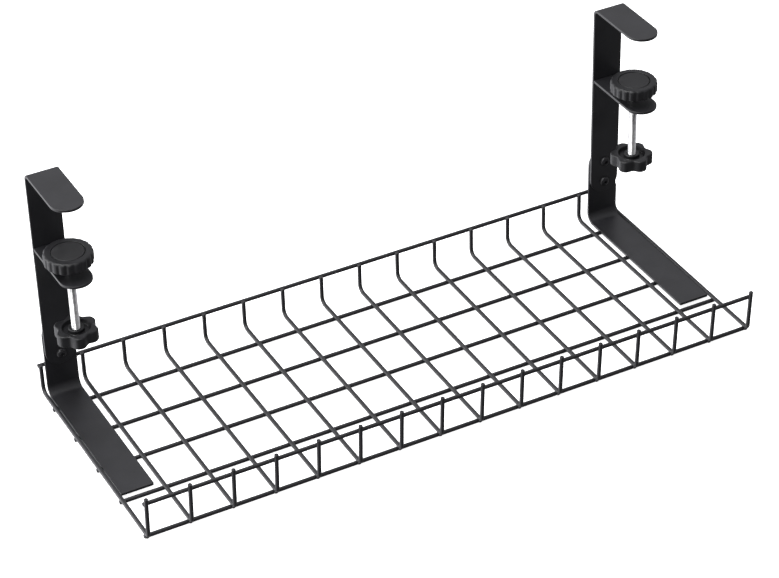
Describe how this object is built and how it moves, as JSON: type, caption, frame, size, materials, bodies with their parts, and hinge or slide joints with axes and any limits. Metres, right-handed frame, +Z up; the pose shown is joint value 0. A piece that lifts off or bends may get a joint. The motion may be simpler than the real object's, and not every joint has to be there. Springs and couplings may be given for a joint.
{
  "type": "under-desk cable tray",
  "caption": "Welded wire cable tray hung from a desk edge by two screw clamps with flat-strip hooks, star knobs and round pressure pads.",
  "frame": {"origin": "middle of the tray's length and depth, on the plane its lowest wires stand on", "axes": "+X along the tray towards its right clamp, +Y from the open front to the clamp bars at the back, +Z up"},
  "size_m": [0.4796, 0.19, 0.1892],
  "materials": {
    "black_powder_coat": "satin",
    "zinc_plated_steel": "bright zinc plate",
    "black_oxide_steel": "black oxide",
    "black_moulded_plastic": "fine moulded texture",
    "dark_rubber": "matt"
  },
  "bodies": {
    "tray": {"cross_wire_01": "black_powder_coat", "cross_wire_02": "black_powder_coat", "cross_wire_03": "black_powder_coat", "cross_wire_04": "black_powder_coat", "cross_wire_05": "black_powder_coat", "cross_wire_06": "black_powder_coat", "cross_wire_07": "black_powder_coat", "cross_wire_08": "black_powder_coat", "cross_wire_09": "black_powder_coat", "cross_wire_10": "black_powder_coat", "cross_wire_11": "black_powder_coat", "cross_wire_12": "black_powder_coat", "cross_wire_13": "black_powder_coat", "cross_wire_14": "black_powder_coat", "cross_wire_15": "black_powder_coat", "cross_wire_16": "black_powder_coat", "front_top_rail": "black_powder_coat", "front_bottom_rail": "black_powder_coat", "floor_rail_1": "black_powder_coat", "floor_rail_2": "black_powder_coat", "floor_rail_3": "black_powder_coat", "floor_rail_4": "black_powder_coat", "back_top_rail": "black_powder_coat", "left_tray_bracket": "black_powder_coat", "left_clamp_bar": "black_powder_coat", "left_lower_jaw": "black_powder_coat", "left_jaw_nut": "black_oxide_steel", "left_lower_screw": "black_oxide_steel", "left_upper_screw": "black_oxide_steel", "left_lower_nut": "black_oxide_steel", "left_upper_nut": "black_oxide_steel", "right_tray_bracket": "black_powder_coat", "right_clamp_bar": "black_powder_coat", "right_lower_jaw": "black_powder_coat", "right_jaw_nut": "black_oxide_steel", "right_lower_screw": "black_oxide_steel", "right_upper_screw": "black_oxide_steel", "right_lower_nut": "black_oxide_steel", "right_upper_nut": "black_oxide_steel"},
    "left_pad": {"left_pressure_pad": "black_moulded_plastic", "left_pad_insert": "dark_rubber"},
    "left_screw": {"left_clamp_rod": "zinc_plated_steel", "left_star_knob": "black_moulded_plastic"},
    "right_pad": {"right_pressure_pad": "black_moulded_plastic", "right_pad_insert": "dark_rubber"},
    "right_screw": {"right_clamp_rod": "zinc_plated_steel", "right_star_knob": "black_moulded_plastic"}
  },
  "joints": [
    {"name": "left_clamp_travel", "type": "slide", "parent": "tray", "child": "left_pad", "axis": [0, 0, 1], "range_m": [-0.0065, 0.039]},
    {"name": "left_screw_turn", "type": "hinge", "parent": "left_pad", "child": "left_screw", "pos_m": [-0.22265, 0.0468, 0.1], "axis": [0, 0, 1], "range_deg": [-2341, 14041]},
    {"name": "right_clamp_travel", "type": "slide", "parent": "tray", "child": "right_pad", "axis": [0, 0, 1], "range_m": [-0.0065, 0.039]},
    {"name": "right_screw_turn", "type": "hinge", "parent": "right_pad", "child": "right_screw", "pos_m": [0.22265, 0.0468, 0.1], "axis": [0, 0, 1], "range_deg": [-2341, 14041]}
  ],
  "couplings": [
    {"joint": "left_screw_turn", "follows": "left_clamp_travel", "rad_per_m": 6283.2},
    {"joint": "right_screw_turn", "follows": "right_clamp_travel", "rad_per_m": 6283.2}
  ]
}
